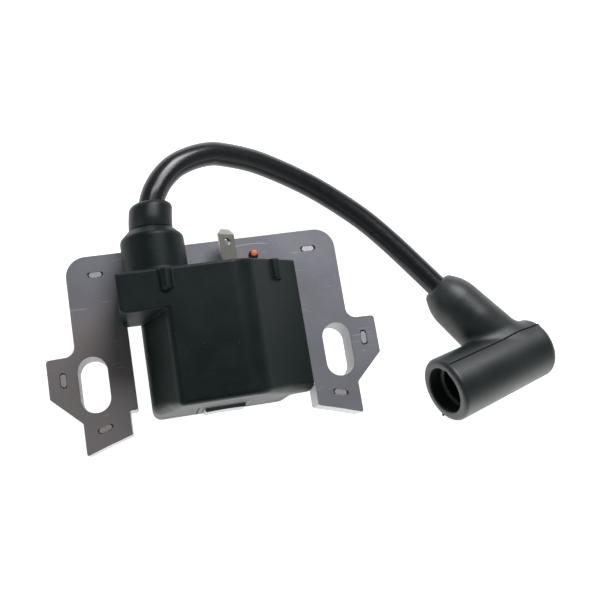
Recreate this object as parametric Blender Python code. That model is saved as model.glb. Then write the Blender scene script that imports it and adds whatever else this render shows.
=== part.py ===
"""Ignition coil of a small engine: laminated core, potted module, lead and plug cap.

+X runs to the side that the lead goes to, +Y from the flywheel to the tower, and +Z from
the module's back, which it lies on, to its front. The origin is on the back, midway
between the two mounting slots. The names below are millimetres, and each mesh is scaled
to metres when it is made.
"""

import math

import bmesh
import bpy
from mathutils import Matrix, Vector

MM = 0.001
GAP = 0.3                  # clearance between neighbouring pieces

# laminated core, symmetrical about the YZ plane
SHEETS = 14
SHEET_PITCH = 9.0 / SHEETS
SHEET_THICKNESS = SHEET_PITCH - 0.04
CORE_BACK = 10.5
CORE_FRONT = CORE_BACK + 9.0
YOKE_TOP, YOKE_UNDERSIDE = 31.4, 18.0
LEG_OUTER, LEG_INNER = 33.6, 20.7
MIDDLE_LEG_HALF = 5.0
FOOT_OUTER = 40.5
FLYWHEEL_CENTRE_Y, POLE_RADIUS = -107.9, 97.4
SLOT_SPACING, SLOT_WIDTH, SLOT_LENGTH = 60.0, 7.0, 13.4
PIN_X, PIN_Y, PIN_RADIUS = 12.5, 26.6, 0.9

# case, open at the back
CASE_FRONT = 38.5
CASE_BOTTOM, CASE_TOP, CASE_REAR_TOP = -9.6, 21.8, 17.7     # the top at the case's front
TOP_DRAFT = 0.1            # how fast the top rises towards the case's back
CASE_LEFT, CASE_RIGHT, CASE_FLARE = -17.4, 17.8, 22.0
CASE_WALL = 1.6
TOWER_X, TOWER_Z, TOWER_RADIUS = -12.2, 28.5, 7.5
TOWER_BORE, TOWER_BORE_BOTTOM = 4.9, 21.2
CAVITY_BOTTOM, CAVITY_TOP = -8.1, 19.9
RIB_RADIUS, RIB_PLACES = 1.3, [(-10.8, 16.9, 38.2), (15.6, 17.7, 29.3)]

# windings round the middle leg
WINDING_Z = (CORE_BACK + CORE_FRONT) / 2
WINDING_LOW, WINDING_HIGH = -7.8, 15.8
FOOT_HALF_X, FOOT_HALF_Z = 6.4, 8.4      # the bobbin's foot, which closes the case's bottom

# stop terminal
BLADE_WIDTH, BLADE_THICKNESS, BLADE_TIP_Y, BLADE_ROOT_Y = 4.8, 0.8, 32.7, 16.2
BLADE_X, BLADE_Z, BLADE_TURN = 5.8, 24.5, math.radians(32)

# high-tension lead and the cap on its end
LEAD_DIAMETER = 6.0
LEAD_STEP = 4.5            # distance between the tube's sections
LEAD_START_Y = 25.6
GRIP_TOP = 39.6            # where the lead leaves the grommet
CAP_CENTRE = Vector((79.3, -8.1, 10.1))   # where the cap's neck and barrel axes cross
NECK_MOUTH = Vector((62.3, 14.5, 8.5))
BARREL_MOUTH = Vector((56.6, -14.3, 14.9))
BARREL_RADIUS, BARREL_BACK_RADIUS = 8.6, 7.8
BARREL_BORE, BARREL_BACK = 6.0, 8.6
NECK_RADIUS, NECK_ROOT_RADIUS, NECK_COLLAR = 6.7, 7.6, 4.5
LEAD_END_DEPTH = 11.0      # distance of the lead's end from CAP_CENTRE


def clear_scene():
    for scene_object in list(bpy.data.objects):
        bpy.data.objects.remove(scene_object, do_unlink=True)


def material(name, colour, roughness, metallic=0.0):
    made = bpy.data.materials.new(name)
    made.use_nodes = True
    shader = made.node_tree.nodes["Principled BSDF"]
    shader.inputs["Base Color"].default_value = (*colour, 1.0)
    shader.inputs["Roughness"].default_value = roughness
    shader.inputs["Metallic"].default_value = metallic
    made.diffuse_color = (*colour, 1.0)
    return made


def place(name, mesh, finish, location=(0, 0, 0), turn_y=0.0, parent=None, smooth=False):
    """Make an object from a mesh; its location is in millimetres."""
    if finish is not None and not mesh.materials:
        mesh.materials.append(finish)
    if smooth:
        mesh.shade_smooth()
        mesh.set_sharp_from_angle(angle=math.radians(35))
    made = bpy.data.objects.new(name, mesh)
    bpy.context.collection.objects.link(made)
    made.location = Vector(location) * MM
    made.rotation_euler = (0, turn_y, 0)
    made.parent = parent
    return made


def finish_mesh(name, bm):
    bmesh.ops.remove_doubles(bm, verts=bm.verts, dist=1e-4)
    bmesh.ops.recalc_face_normals(bm, faces=bm.faces)
    bmesh.ops.scale(bm, vec=(MM, MM, MM), verts=bm.verts)
    mesh = bpy.data.meshes.new(name)
    bm.to_mesh(mesh)
    bm.free()
    return mesh


def plate(name, loops, low, high, along="Z"):
    """Extrude an outline, and the holes after it, from low to high.

    Loops are (x, y) for a plate along Z, and (x, z) for one along Y.
    """
    bm = bmesh.new()
    edges = []
    for loop in loops:
        if along == "Z":
            corners = [bm.verts.new((x, y, low)) for x, y in loop]
        else:
            corners = [bm.verts.new((x, low, z)) for x, z in loop]
        edges += [bm.edges.new(pair) for pair in zip(corners, corners[1:] + corners[:1])]
    faces = bmesh.ops.triangle_fill(bm, use_beauty=True, use_dissolve=False, edges=edges)
    faces = [item for item in faces["geom"] if isinstance(item, bmesh.types.BMFace)]
    far_side = bmesh.ops.extrude_face_region(bm, geom=faces)
    moved = [item for item in far_side["geom"] if isinstance(item, bmesh.types.BMVert)]
    shift = (0, 0, high - low) if along == "Z" else (0, high - low, 0)
    bmesh.ops.translate(bm, vec=shift, verts=moved)
    return finish_mesh(name, bm)


def cuboid(name, low, high):
    bm = bmesh.new()
    bmesh.ops.create_cube(bm, size=1.0)
    size = [b - a for a, b in zip(low, high)]
    middle = [(a + b) / 2 for a, b in zip(low, high)]
    bmesh.ops.scale(bm, vec=size, verts=bm.verts)
    bmesh.ops.translate(bm, vec=middle, verts=bm.verts)
    return finish_mesh(name, bm)


def turned(name, profile, sides, direction=(0, 0, 1)):
    """Turn a closed profile of (radius, height) points about an axis through the origin."""
    bm = bmesh.new()
    rings = []
    for radius, height in profile:
        if radius == 0:
            rings.append([bm.verts.new((0, 0, height))])
            continue
        angles = [2 * math.pi * k / sides for k in range(sides)]
        rings.append([bm.verts.new((radius * math.cos(a), radius * math.sin(a), height))
                      for a in angles])
    for ring, following in zip(rings, rings[1:] + rings[:1]):
        for k in range(sides):
            after = (k + 1) % sides
            corners = [ring[k % len(ring)], ring[after % len(ring)],
                       following[after % len(following)], following[k % len(following)]]
            corners = list(dict.fromkeys(corners))
            if len(corners) > 2:
                bm.faces.new(corners)
    turn = Vector((0, 0, 1)).rotation_difference(Vector(direction))
    bmesh.ops.rotate(bm, cent=(0, 0, 0), matrix=turn.to_matrix(), verts=bm.verts)
    return finish_mesh(name, bm)


def sleeve(name, sections, corner=0.0):
    """Close a run of rectangles (y, half width, half height) into a tube along Y."""
    bm = bmesh.new()
    rings = []
    for y, half_x, half_z in sections:
        if corner:
            outline = [(half_x, corner - half_z), (half_x, half_z - corner),
                       (half_x - corner, half_z), (corner - half_x, half_z),
                       (-half_x, half_z - corner), (-half_x, corner - half_z),
                       (corner - half_x, -half_z), (half_x - corner, -half_z)]
        else:
            outline = [(half_x, -half_z), (half_x, half_z), (-half_x, half_z), (-half_x, -half_z)]
        rings.append([bm.verts.new((x, y, z)) for x, z in outline])
    for ring, following in zip(rings, rings[1:] + rings[:1]):
        for k in range(len(ring)):
            after = (k + 1) % len(ring)
            bm.faces.new((ring[k], ring[after], following[after], following[k]))
    return finish_mesh(name, bm)


def tool(mesh, location=(0, 0, 0), turn_y=0.0, parent=None):
    """A shape that another one is joined to or cut by."""
    made = place("tool_" + mesh.name, mesh, None, location, turn_y, parent)
    made.hide_render = True
    made.display_type = "WIRE"
    return made


def combine(target, others, operation):
    for other in others:
        step = target.modifiers.new(operation.lower() + "_" + other.name, "BOOLEAN")
        step.operation = operation
        step.solver = "EXACT"
        step.object = other


def arc(centre, radius, start, end, steps):
    """Points on an arc between two angles in degrees, both ends included."""
    angles = [math.radians(start + (end - start) * k / steps) for k in range(steps + 1)]
    return [(centre[0] + radius * math.cos(a), centre[1] + radius * math.sin(a)) for a in angles]


def pole_point(x):
    """The height of the flywheel's circle at a distance from the middle."""
    return x, FLYWHEEL_CENTRE_Y + math.sqrt(POLE_RADIUS ** 2 - x * x)


def core_outline():
    """Right half from the yoke's top to the middle leg, then the left half mirrored."""
    corner, hip = 5.0, 2.5
    right = [(x, y) for x, y in arc((LEG_OUTER - corner, YOKE_TOP - corner), corner, 90, 0, 4)]
    right += arc((LEG_OUTER + hip, 7.4 + hip), hip, 180, 270, 3)
    right += [(FOOT_OUTER - 0.6, 7.3), (FOOT_OUTER, 6.7), (FOOT_OUTER, -2.0)]
    right += [(LEG_OUTER, -8.9), (LEG_OUTER, -16.4)]
    right += [(28.1, -14.7), (22.6, -13.1), (22.6, -7.4), (LEG_INNER, -7.4)]
    right += arc((LEG_INNER - 1.5, YOKE_UNDERSIDE - 1.5), 1.5, 0, 90, 2)
    right += [(MIDDLE_LEG_HALF, YOKE_UNDERSIDE), pole_point(MIDDLE_LEG_HALF), pole_point(2.0)]
    left = [(-x, y) for x, y in reversed(right)]
    return right + left


def slot_outline(centre_x):
    radius = SLOT_WIDTH / 2
    straight = SLOT_LENGTH / 2 - radius
    return (arc((centre_x, straight), radius, 0, 180, 6)
            + arc((centre_x, -straight), radius, 180, 360, 6))


def build_core(steel, copper):
    slots = [slot_outline(side * SLOT_SPACING / 2) for side in (-1, 1)]
    pin_hole = arc((PIN_X, PIN_Y), PIN_RADIUS + GAP, 0, 315, 7)
    sheet = plate("lamination", [core_outline(), *slots, pin_hole], 0, SHEET_THICKNESS)
    for number in range(SHEETS):
        height = CORE_BACK + number * SHEET_PITCH
        place(f"lamination_{number + 1:02d}", sheet, steel, (0, 0, height))
    pin = turned("earth_pin", [(0, CORE_BACK - 0.6), (PIN_RADIUS, CORE_BACK - 0.6),
                               (PIN_RADIUS, CORE_FRONT + 2.2), (0, CORE_FRONT + 2.2)], 12)
    place("earth_pin", pin, copper, (PIN_X, PIN_Y, 0), smooth=True)


def build_case(plastic):
    wall = CASE_WALL
    outside = [(CASE_LEFT, 0), (CASE_RIGHT, 0), (CASE_RIGHT, CORE_FRONT + GAP),
               (CASE_FLARE, CORE_FRONT + GAP), (CASE_FLARE, 22.5), (7.6, CASE_FRONT),
               (-11.3, CASE_FRONT), (CASE_LEFT, 19.5)]
    outer_shape = plate("case_shell", [outside], CASE_BOTTOM, CASE_TOP, "Y")
    slope_top(outer_shape, CASE_TOP)
    case = place("case_shell", outer_shape, plastic)
    block_top = CASE_TOP - 0.05
    block = cuboid("block", (-21.7, 12.5, CORE_FRONT + GAP), (-9, block_top, CASE_FRONT))
    slope_top(block, block_top)
    tower = turned("tower", [(0, -0.8), (7.6, -0.8), (TOWER_RADIUS, 9.7), (5.3, 11.9),
                             (0, 11.9)], 28, (0, 1, 0))
    rib = turned("rib", [(0, 0), (RIB_RADIUS, 0), (RIB_RADIUS, 4.7), (0, 4.7)], 12, (0, 1, 0))
    additions = [tool(block), tool(tower, (TOWER_X, 21.5, TOWER_Z))]
    additions += [tool(rib, place_at) for place_at in RIB_PLACES]
    combine(case, additions, "UNION")

    behind_yoke = cuboid("behind_yoke", (-40, CASE_REAR_TOP, -5), (40, 60, CORE_FRONT + GAP))
    leg_tunnel = cuboid("leg_tunnel", (-MIDDLE_LEG_HALF - GAP, -20, CORE_BACK - GAP),
                        (MIDDLE_LEG_HALF + GAP, 30, CORE_FRONT + GAP))
    foot_x, foot_z = FOOT_HALF_X + GAP, FOOT_HALF_Z + GAP
    foot_hole = cuboid("foot_hole", (-foot_x, -20, WINDING_Z - foot_z),
                       (foot_x, CAVITY_BOTTOM + 0.1, WINDING_Z + foot_z))
    cavity = cavity_outline()
    main_cavity = plate("main_cavity", [cavity], CAVITY_BOTTOM, CASE_REAR_TOP - wall, "Y")
    front = [(-14.9, 21.4), (19.9, 21.4), (19.9, 21.7), cavity[4], cavity[5], cavity[6]]
    front_cavity = plate("front_cavity", [front], 10, CAVITY_TOP, "Y")
    bore = turned("bore", [(0, TOWER_BORE_BOTTOM), (3.5, TOWER_BORE_BOTTOM), (3.5, 26.2),
                           (TOWER_BORE, 26.2), (TOWER_BORE, 36), (0, 36)], 20, (0, 1, 0))
    contact_hole = turned("contact_hole", [(0, 17), (1.1, 17), (1.1, 22), (0, 22)], 10, (0, 1, 0))
    blade_slot = cuboid("blade_slot", (-BLADE_WIDTH / 2 - GAP, 17, -BLADE_THICKNESS / 2 - GAP),
                        (BLADE_WIDTH / 2 + GAP, 25, BLADE_THICKNESS / 2 + GAP))
    cutters = [tool(behind_yoke), tool(leg_tunnel), tool(foot_hole), tool(main_cavity),
               tool(front_cavity),
               tool(bore, (TOWER_X, 0, TOWER_Z)), tool(contact_hole, (TOWER_X, 0, TOWER_Z)),
               tool(blade_slot, (BLADE_X, 0, BLADE_Z), BLADE_TURN)]
    combine(case, cutters, "DIFFERENCE")


def slope_top(mesh, top):
    """Slope the top face of a shape of the case, so that it rises towards the back."""
    for corner in mesh.vertices:
        if abs(corner.co.y / MM - top) < 0.01:
            corner.co.y += TOP_DRAFT * (CASE_FRONT * MM - corner.co.z)


def cavity_outline():
    """The inside of the case seen along Y, a wall's thickness inside its outline."""
    return [(-15.4, -1), (16.2, -1), (16.2, 21.6), (20.0, 21.6), (6.8, 36.9), (-9.8, 36.9),
            (-14.3, 23.0), (-15.4, 19.4)]


def build_potting(resin):
    outside = [(-15.1, 0), (15.9, 0), (15.9, 21.9), (19.2, 21.9), (6.7, 36.6), (-9.6, 36.6),
               (-14.0, 22.9), (-15.1, 19.4)]
    around_coils = [(-11.9, 3.5), (11.9, 3.5), (11.9, 29.2), (7.2, 35.2), (-8.8, 35.2),
                    (-11.1, 28.8), (-11.9, 26.6)]
    potting = plate("potting", [outside, around_coils], WINDING_LOW, WINDING_HIGH, "Y")
    place("potting", potting, resin)


def build_windings(bobbin_plastic, enamelled_wire):
    low, high = WINDING_LOW, WINDING_HIGH
    middle = (0, 0, WINDING_Z)
    bore_x, bore_z = MIDDLE_LEG_HALF + GAP, 4.5 + GAP
    primary_bobbin = [(-9.6, bore_x, bore_z), (-9.6, FOOT_HALF_X, FOOT_HALF_Z),
                      (-8.1, FOOT_HALF_X, FOOT_HALF_Z), (-8.1, 6.2, 7.7), (low, 6.2, 7.7),
                      (low, 8.2, 7.7), (low + 0.9, 8.2, 7.7),
                      (low + 0.9, 6.2, 5.7), (high - 0.9, 6.2, 5.7), (high - 0.9, 8.2, 7.7),
                      (high, 8.2, 7.7), (high, bore_x, bore_z)]
    place("primary_bobbin", sleeve("primary_bobbin", primary_bobbin), bobbin_plastic, middle)
    first, last = low + 0.9 + GAP, high - 0.9 - GAP
    primary = [(first, 6.5, 6.0), (first, 8.1, 7.6), (last, 8.1, 7.6), (last, 6.5, 6.0)]
    place("primary_winding", sleeve("primary_winding", primary, 0.4), enamelled_wire, middle)

    # the secondary's wire lies in narrow chambers, which part its high voltage
    chambers, rib = 4, 0.8
    chamber = (high - low - rib) / chambers
    outside, inside = (11.6, 11.2), (9.5, 9.0)
    secondary_bobbin = [(low, 8.5, 8.0), (low, *outside)]
    for number in range(chambers):
        near = low + number * chamber + rib
        far = near + chamber - rib
        secondary_bobbin += [(near, *outside), (near, *inside), (far, *inside), (far, *outside)]
        ring = [(near + GAP, 9.8, 9.3), (near + GAP, 11.3, 10.9),
                (far - GAP, 11.3, 10.9), (far - GAP, 9.8, 9.3)]
        name = f"secondary_winding_{number + 1}"
        place(name, sleeve(name, ring, 0.4), enamelled_wire, middle)
    secondary_bobbin += [(high, *outside), (high, 8.5, 8.0)]
    place("secondary_bobbin", sleeve("secondary_bobbin", secondary_bobbin), bobbin_plastic, middle)


def build_electronics(glass_board, black_epoxy, ceramic, film):
    board_back, board_front = 27.4, 28.6
    board = cuboid("circuit_board", (-10.7, -6.5, board_back), (11.2, 13.5, board_front))
    place("circuit_board", board, glass_board)
    base = board_front + GAP
    body = cuboid("power_transistor", (-8.0, 2.0, base), (0.0, 11.0, base + 3.6))
    place("power_transistor", body, black_epoxy)
    chip = cuboid("control_chip", (2.0, -5.0, base), (6.0, 0.2, base + 1.6))
    place("control_chip", chip, black_epoxy)
    capacitor = cuboid("timing_capacitor", (-7.6, -5.6, base), (-1.6, -1.6, base + 4.4))
    place("timing_capacitor", capacitor, film)
    for number in range(2):
        left = 1.6 + number * 3.4
        chip_resistor = cuboid("chip_resistor", (left, 2.6, base), (left + 1.6, 5.8, base + 0.7))
        place(f"resistor_{number + 1}", chip_resistor, ceramic)


def build_terminal(tin):
    half, tip, bevel = BLADE_WIDTH / 2, BLADE_TIP_Y, 1.1
    outline = [(-half, BLADE_ROOT_Y), (half, BLADE_ROOT_Y), (half, tip - bevel),
               (half - bevel, tip), (bevel - half, tip), (-half, tip - bevel)]
    hole = arc((0, tip - 3.2), 0.8, 0, 330, 11)
    blade = plate("stop_terminal", [outline, hole], -BLADE_THICKNESS / 2, BLADE_THICKNESS / 2)
    place("stop_terminal", blade, tin, (BLADE_X, 0, BLADE_Z), BLADE_TURN)


def lean(y):
    """How far the lead has moved to +X at a height in the grommet."""
    return 0.0125 * max(0.0, y - 31.0) ** 2


def build_tower_pieces(brass, rubber):
    contact = turned("ht_contact", [(0, 17.4), (0.8, 17.4), (0.8, 21.5), (3.1, 21.5), (3.1, 22.3),
                                    (0.8, 22.3), (0.8, 24.4), (0, 25.2)], 12, (0, 1, 0))
    place("ht_contact", contact, brass, (TOWER_X, 0, TOWER_Z), smooth=True)

    bore = LEAD_DIAMETER / 2 + GAP
    heights = [26.6, 30.0, 33.0, 35.0, 37.2, GRIP_TOP]
    profile = [(bore, y) for y in reversed(heights)]
    profile += [(4.6, 26.6), (4.6, 33.7), (5.2, 33.7), (5.2, 36.0), (5.2, 38.2), (4.1, GRIP_TOP)]
    mesh = turned("tower_grommet", profile, 20, (0, 1, 0))
    for corner in mesh.vertices:
        corner.co.x += lean(corner.co.y / MM) * MM
    place("tower_grommet", mesh, rubber, (TOWER_X, 0, TOWER_Z), smooth=True)


def lead_route():
    """Points that the lead passes through, from the tower's contact to the cap's."""
    into_cap = (CAP_CENTRE - NECK_MOUTH).normalized()
    route = [(TOWER_X + lean(y), y, TOWER_Z) for y in (LEAD_START_Y, 29, 32, 34.5, 37, GRIP_TOP)]
    route += [(-9.9, 42.9, 28.6), (-7.6, 46.2, 28.2), (-4.4, 49.1, 27.4), (-0.4, 51.2, 26.0),
              (4.0, 52.6, 24.2), (8.1, 52.9, 22.3), (16.2, 51.7, 18.6), (24.1, 48.9, 15.2),
              (31.8, 45.1, 12.4), (39.0, 40.3, 10.4), (45.7, 34.7, 9.2), (51.6, 28.3, 8.6),
              (57.1, 21.4, 8.4)]
    depth = (CAP_CENTRE - NECK_MOUTH).length - LEAD_END_DEPTH
    route += [tuple(NECK_MOUTH + into_cap * depth * k / 3) for k in range(4)]
    return [Vector(point) for point in route]


def smooth_points(route, step):
    """Points at even steps on a Catmull-Rom curve through the route."""
    ends = [2 * route[0] - route[1], *route, 2 * route[-1] - route[-2]]
    dense = []
    for before, start, end, after in zip(ends, ends[1:], ends[2:], ends[3:]):
        for k in range(20):
            t = k / 20
            dense.append(0.5 * (2 * start + (end - before) * t
                                + (2 * before - 5 * start + 4 * end - after) * t ** 2
                                + (3 * start - before - 3 * end + after) * t ** 3))
    dense.append(route[-1])
    travelled = [0.0]
    for near, far in zip(dense, dense[1:]):
        travelled.append(travelled[-1] + (far - near).length)
    count = round(travelled[-1] / step)
    points, k = [], 0
    for number in range(count + 1):
        wanted = travelled[-1] * number / count
        while k < len(dense) - 2 and travelled[k + 1] < wanted:
            k += 1
        share = (wanted - travelled[k]) / (travelled[k + 1] - travelled[k])
        points.append(dense[k].lerp(dense[k + 1], share))
    return points


def build_lead(insulation):
    curve = bpy.data.curves.new("ht_lead", "CURVE")
    curve.dimensions = "3D"
    curve.bevel_depth = LEAD_DIAMETER / 2 * MM
    curve.bevel_resolution = 4
    curve.use_fill_caps = True
    curve.render_resolution_u = 0
    points = smooth_points(lead_route(), LEAD_STEP)
    spline = curve.splines.new("POLY")
    spline.points.add(len(points) - 1)
    for point, place_at in zip(spline.points, points):
        point.co = (*(place_at * MM), 1.0)
    curve.materials.append(insulation)
    lead = bpy.data.objects.new("ht_lead", curve)
    bpy.context.collection.objects.link(lead)


def build_cap(rubber, spring_steel, brass):
    """The cap turns about its neck, so its parent's Z axis is the neck's, towards the lead."""
    neck = (NECK_MOUTH - CAP_CENTRE).normalized()
    neck_length = (NECK_MOUTH - CAP_CENTRE).length
    side = (BARREL_MOUTH - CAP_CENTRE).normalized()
    barrel_length = (BARREL_MOUTH - CAP_CENTRE).length
    across = (side - neck * side.dot(neck)).normalized()
    pivot = bpy.data.objects.new("cap_pivot", None)
    bpy.context.collection.objects.link(pivot)
    axes = Matrix((across, neck.cross(across), neck)).transposed().to_4x4()
    pivot.matrix_world = Matrix.Translation(CAP_CENTRE * MM) @ axes
    angle = side.angle(neck)
    barrel = (math.sin(angle), 0, math.cos(angle))

    back, mouth = -BARREL_BACK, barrel_length
    outside = [(0, back), (5.0, back), (7.0, back + 0.9), (BARREL_BACK_RADIUS, back + 2.9),
               (BARREL_RADIUS, mouth - 0.8), (BARREL_RADIUS - 0.5, mouth), (0, mouth)]
    boot = place("plug_cap_boot", turned("plug_cap_boot", outside, 32, barrel), rubber,
                 parent=pivot)
    neck_body = turned("neck_body", [(0, 0), (NECK_ROOT_RADIUS, 0), (NECK_ROOT_RADIUS, 3),
                                     (NECK_RADIUS, neck_length - NECK_COLLAR),
                                     (4.6, neck_length - 0.5), (4.2, neck_length),
                                     (0, neck_length)], 28)
    combine(boot, [tool(neck_body, parent=pivot)], "UNION")
    barrel_bore = turned("barrel_bore", [(0, -4), (5, -4), (5, 9.5), (BARREL_BORE, 10.5),
                                         (BARREL_BORE, mouth + 3), (0, mouth + 3)], 24, barrel)
    lead_bore = LEAD_DIAMETER / 2 + GAP
    neck_bore = turned("neck_bore", [(0, 3), (lead_bore, 3), (lead_bore, neck_length + 3),
                                     (0, neck_length + 3)], 20)
    combine(boot, [tool(barrel_bore, parent=pivot), tool(neck_bore, parent=pivot)], "DIFFERENCE")

    clip = turned("plug_clip", [(3.6, -2.5), (4.3, -2.5), (4.3, 7.5), (4.7, 8.5), (4.1, 8.5),
                                (3.6, 7.5)], 20, barrel)
    place("plug_clip", clip, spring_steel, parent=pivot, smooth=True)
    pin = turned("clip_pin", [(0, 5.3), (0.9, 5.3), (0.9, 9.6), (2.5, 9.6),
                              (2.5, LEAD_END_DEPTH - GAP), (0, LEAD_END_DEPTH - GAP)], 14)
    place("clip_pin", pin, brass, parent=pivot, smooth=True)


clear_scene()
SILICON_STEEL = material("silicon_steel", (0.42, 0.42, 0.44), 0.38, 1.0)
COPPER = material("copper", (0.85, 0.36, 0.17), 0.35, 1.0)
BRASS = material("brass", (0.72, 0.56, 0.27), 0.32, 1.0)
TIN = material("tin_plate", (0.62, 0.60, 0.55), 0.35, 1.0)
SPRING_STEEL = material("spring_steel", (0.45, 0.45, 0.46), 0.3, 1.0)
BLACK_NYLON = material("black_nylon", (0.03, 0.035, 0.035), 0.55)
BOBBIN_NYLON = material("bobbin_nylon", (0.035, 0.042, 0.042), 0.5)
RESIN = material("resin", (0.05, 0.045, 0.04), 0.3)
ENAMELLED_WIRE = material("enamelled_wire", (0.55, 0.22, 0.08), 0.3, 0.8)
GLASS_BOARD = material("glass_board", (0.05, 0.22, 0.10), 0.4)
BLACK_EPOXY = material("black_epoxy", (0.03, 0.03, 0.03), 0.45)
FILM = material("film", (0.6, 0.35, 0.1), 0.35)
CERAMIC = material("ceramic", (0.6, 0.6, 0.56), 0.4)
RUBBER = material("rubber", (0.06, 0.065, 0.065), 0.5)
INSULATION = material("insulation", (0.03, 0.03, 0.035), 0.25)
build_core(SILICON_STEEL, COPPER)
build_case(BLACK_NYLON)
build_potting(RESIN)
build_windings(BOBBIN_NYLON, ENAMELLED_WIRE)
build_electronics(GLASS_BOARD, BLACK_EPOXY, CERAMIC, FILM)
build_terminal(TIN)
build_tower_pieces(BRASS, RUBBER)
build_lead(INSULATION)
build_cap(RUBBER, SPRING_STEEL, BRASS)
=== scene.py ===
"""Ignition coil of a small engine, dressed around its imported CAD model.

Numbers and arrays are in millimetres in the model's own frame, and each mesh is scaled
to metres when it is made. The origin is on the coil's back, +X runs to the side that the
lead goes to, +Y from the flywheel to the tower, and +Z from the back to the front.
"""

import bmesh
import bpy
import numpy as np
from mathutils import Matrix, Vector
from mathutils.geometry import tessellate_polygon


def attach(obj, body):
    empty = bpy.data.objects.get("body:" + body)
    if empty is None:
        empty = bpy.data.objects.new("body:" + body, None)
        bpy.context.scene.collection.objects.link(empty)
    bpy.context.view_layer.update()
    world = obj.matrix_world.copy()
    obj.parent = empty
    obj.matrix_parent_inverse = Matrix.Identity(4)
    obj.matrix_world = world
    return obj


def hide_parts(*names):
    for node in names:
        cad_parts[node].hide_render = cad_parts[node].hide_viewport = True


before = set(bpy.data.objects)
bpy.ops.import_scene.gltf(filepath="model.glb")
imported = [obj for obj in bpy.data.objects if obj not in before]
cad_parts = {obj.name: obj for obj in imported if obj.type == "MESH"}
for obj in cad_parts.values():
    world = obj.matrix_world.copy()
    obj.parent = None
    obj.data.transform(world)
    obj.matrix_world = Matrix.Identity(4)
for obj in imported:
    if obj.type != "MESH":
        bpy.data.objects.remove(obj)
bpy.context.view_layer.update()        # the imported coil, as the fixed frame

# ---- camera ----
# The coil lies on its back on a pale bench, and is looked down on from a hand's breadth
# or two above its flywheel end, a little from the left.
MM = 0.001
EYE, AIM, UPWARDS = (-17.43, -23.59, 227.79), (22.4, 13.6, 19.5), (0.132, 0.971, 0.199)
LENS, SENSOR = 51.4, 36.0

camera_data = bpy.data.cameras.new("camera")
camera_data.lens = LENS
camera_data.sensor_width = SENSOR
camera_data.clip_start = 0.01
camera = bpy.data.objects.new("camera", camera_data)
bpy.context.scene.collection.objects.link(camera)
ahead = (Vector(AIM) - Vector(EYE)).normalized()
rightwards = ahead.cross(Vector(UPWARDS)).normalized()
turn = Matrix((rightwards, rightwards.cross(ahead), -ahead)).transposed().to_4x4()
camera.matrix_world = Matrix.Translation(Vector(EYE) * MM) @ turn
bpy.context.scene.camera = camera
bpy.context.scene.view_settings.view_transform = "Standard"

# ---- bench and studio light ----
# A white paper bench in a tent whose wall is bright at the flywheel end and dim elsewhere,
# with one softbox beyond the tower for the long highlights, a weak strip at the left and a
# small strip that lights only the lead and its grommet.
BENCH_SIZE, BENCH_HEIGHT = 3000.0, -0.4
TENT_SIDE, TENT_NEAR, TENT_TOP = 0.3, 1.0, 0.12
BENCH_FAR, BENCH_NEAR = 0.95, 1.8


def add_node(tree, kind, values=(), **settings):
    """Add a node; values maps its sockets to constants or to the sockets that feed them."""
    node = tree.nodes.new(kind)
    for setting, value in settings.items():
        setattr(node, setting, value)
    for socket, value in dict(values).items():
        if isinstance(value, bpy.types.NodeSocket):
            tree.links.new(value, node.inputs[socket])
        else:
            node.inputs[socket].default_value = value
    return node


def colour(red, green, blue):
    return (red, green, blue, 1.0)


def new_material(name, roughness, metallic=0.0, **sockets):
    """A material with one Principled BSDF; sockets are its other constants."""
    made = bpy.data.materials.new(name)
    made.use_nodes = True
    shader = made.node_tree.nodes["Principled BSDF"]
    shader.inputs["Roughness"].default_value = roughness
    shader.inputs["Metallic"].default_value = metallic
    for socket, value in sockets.items():
        shader.inputs[socket.replace("_", " ")].default_value = value
    return made, made.node_tree, shader


def place_piece(name, vertices, faces, finishes, face_finish=None, normals=None):
    """Make an object from arrays of corners in millimetres and of faces."""
    mesh = bpy.data.meshes.new(name)
    mesh.from_pydata((np.asarray(vertices) * MM).tolist(), [], faces)
    for finish in finishes:
        mesh.materials.append(finish)
    if face_finish is not None:
        mesh.polygons.foreach_set("material_index", face_finish)
    mesh.shade_smooth()
    if normals is not None:
        mesh.normals_split_custom_set_from_vertices(normals)
    piece = bpy.data.objects.new(name, mesh)
    bpy.context.scene.collection.objects.link(piece)
    return piece


def add_light(name, place, size, power, tint):
    """An area light at a place in millimetres, facing the coil."""
    data = bpy.data.lights.new(name, "AREA")
    data.shape = "RECTANGLE"
    data.size, data.size_y = size[0] * MM, size[1] * MM
    data.energy = power
    data.color = tint
    light = bpy.data.objects.new(name, data)
    light.location = Vector(place) * MM
    towards = Vector(AIM) - Vector(place)
    light.rotation_euler = towards.to_track_quat("-Z", "Y").to_euler()
    bpy.context.scene.collection.objects.link(light)
    return light


def seen_or_reflected(tree, seen, reflected):
    """A strength that is one value where the camera looks and another in reflections."""
    ray = add_node(tree, "ShaderNodeLightPath").outputs["Is Camera Ray"]
    return add_node(tree, "ShaderNodeMix", {0: ray, 2: reflected, 3: seen}).outputs[0]


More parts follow.
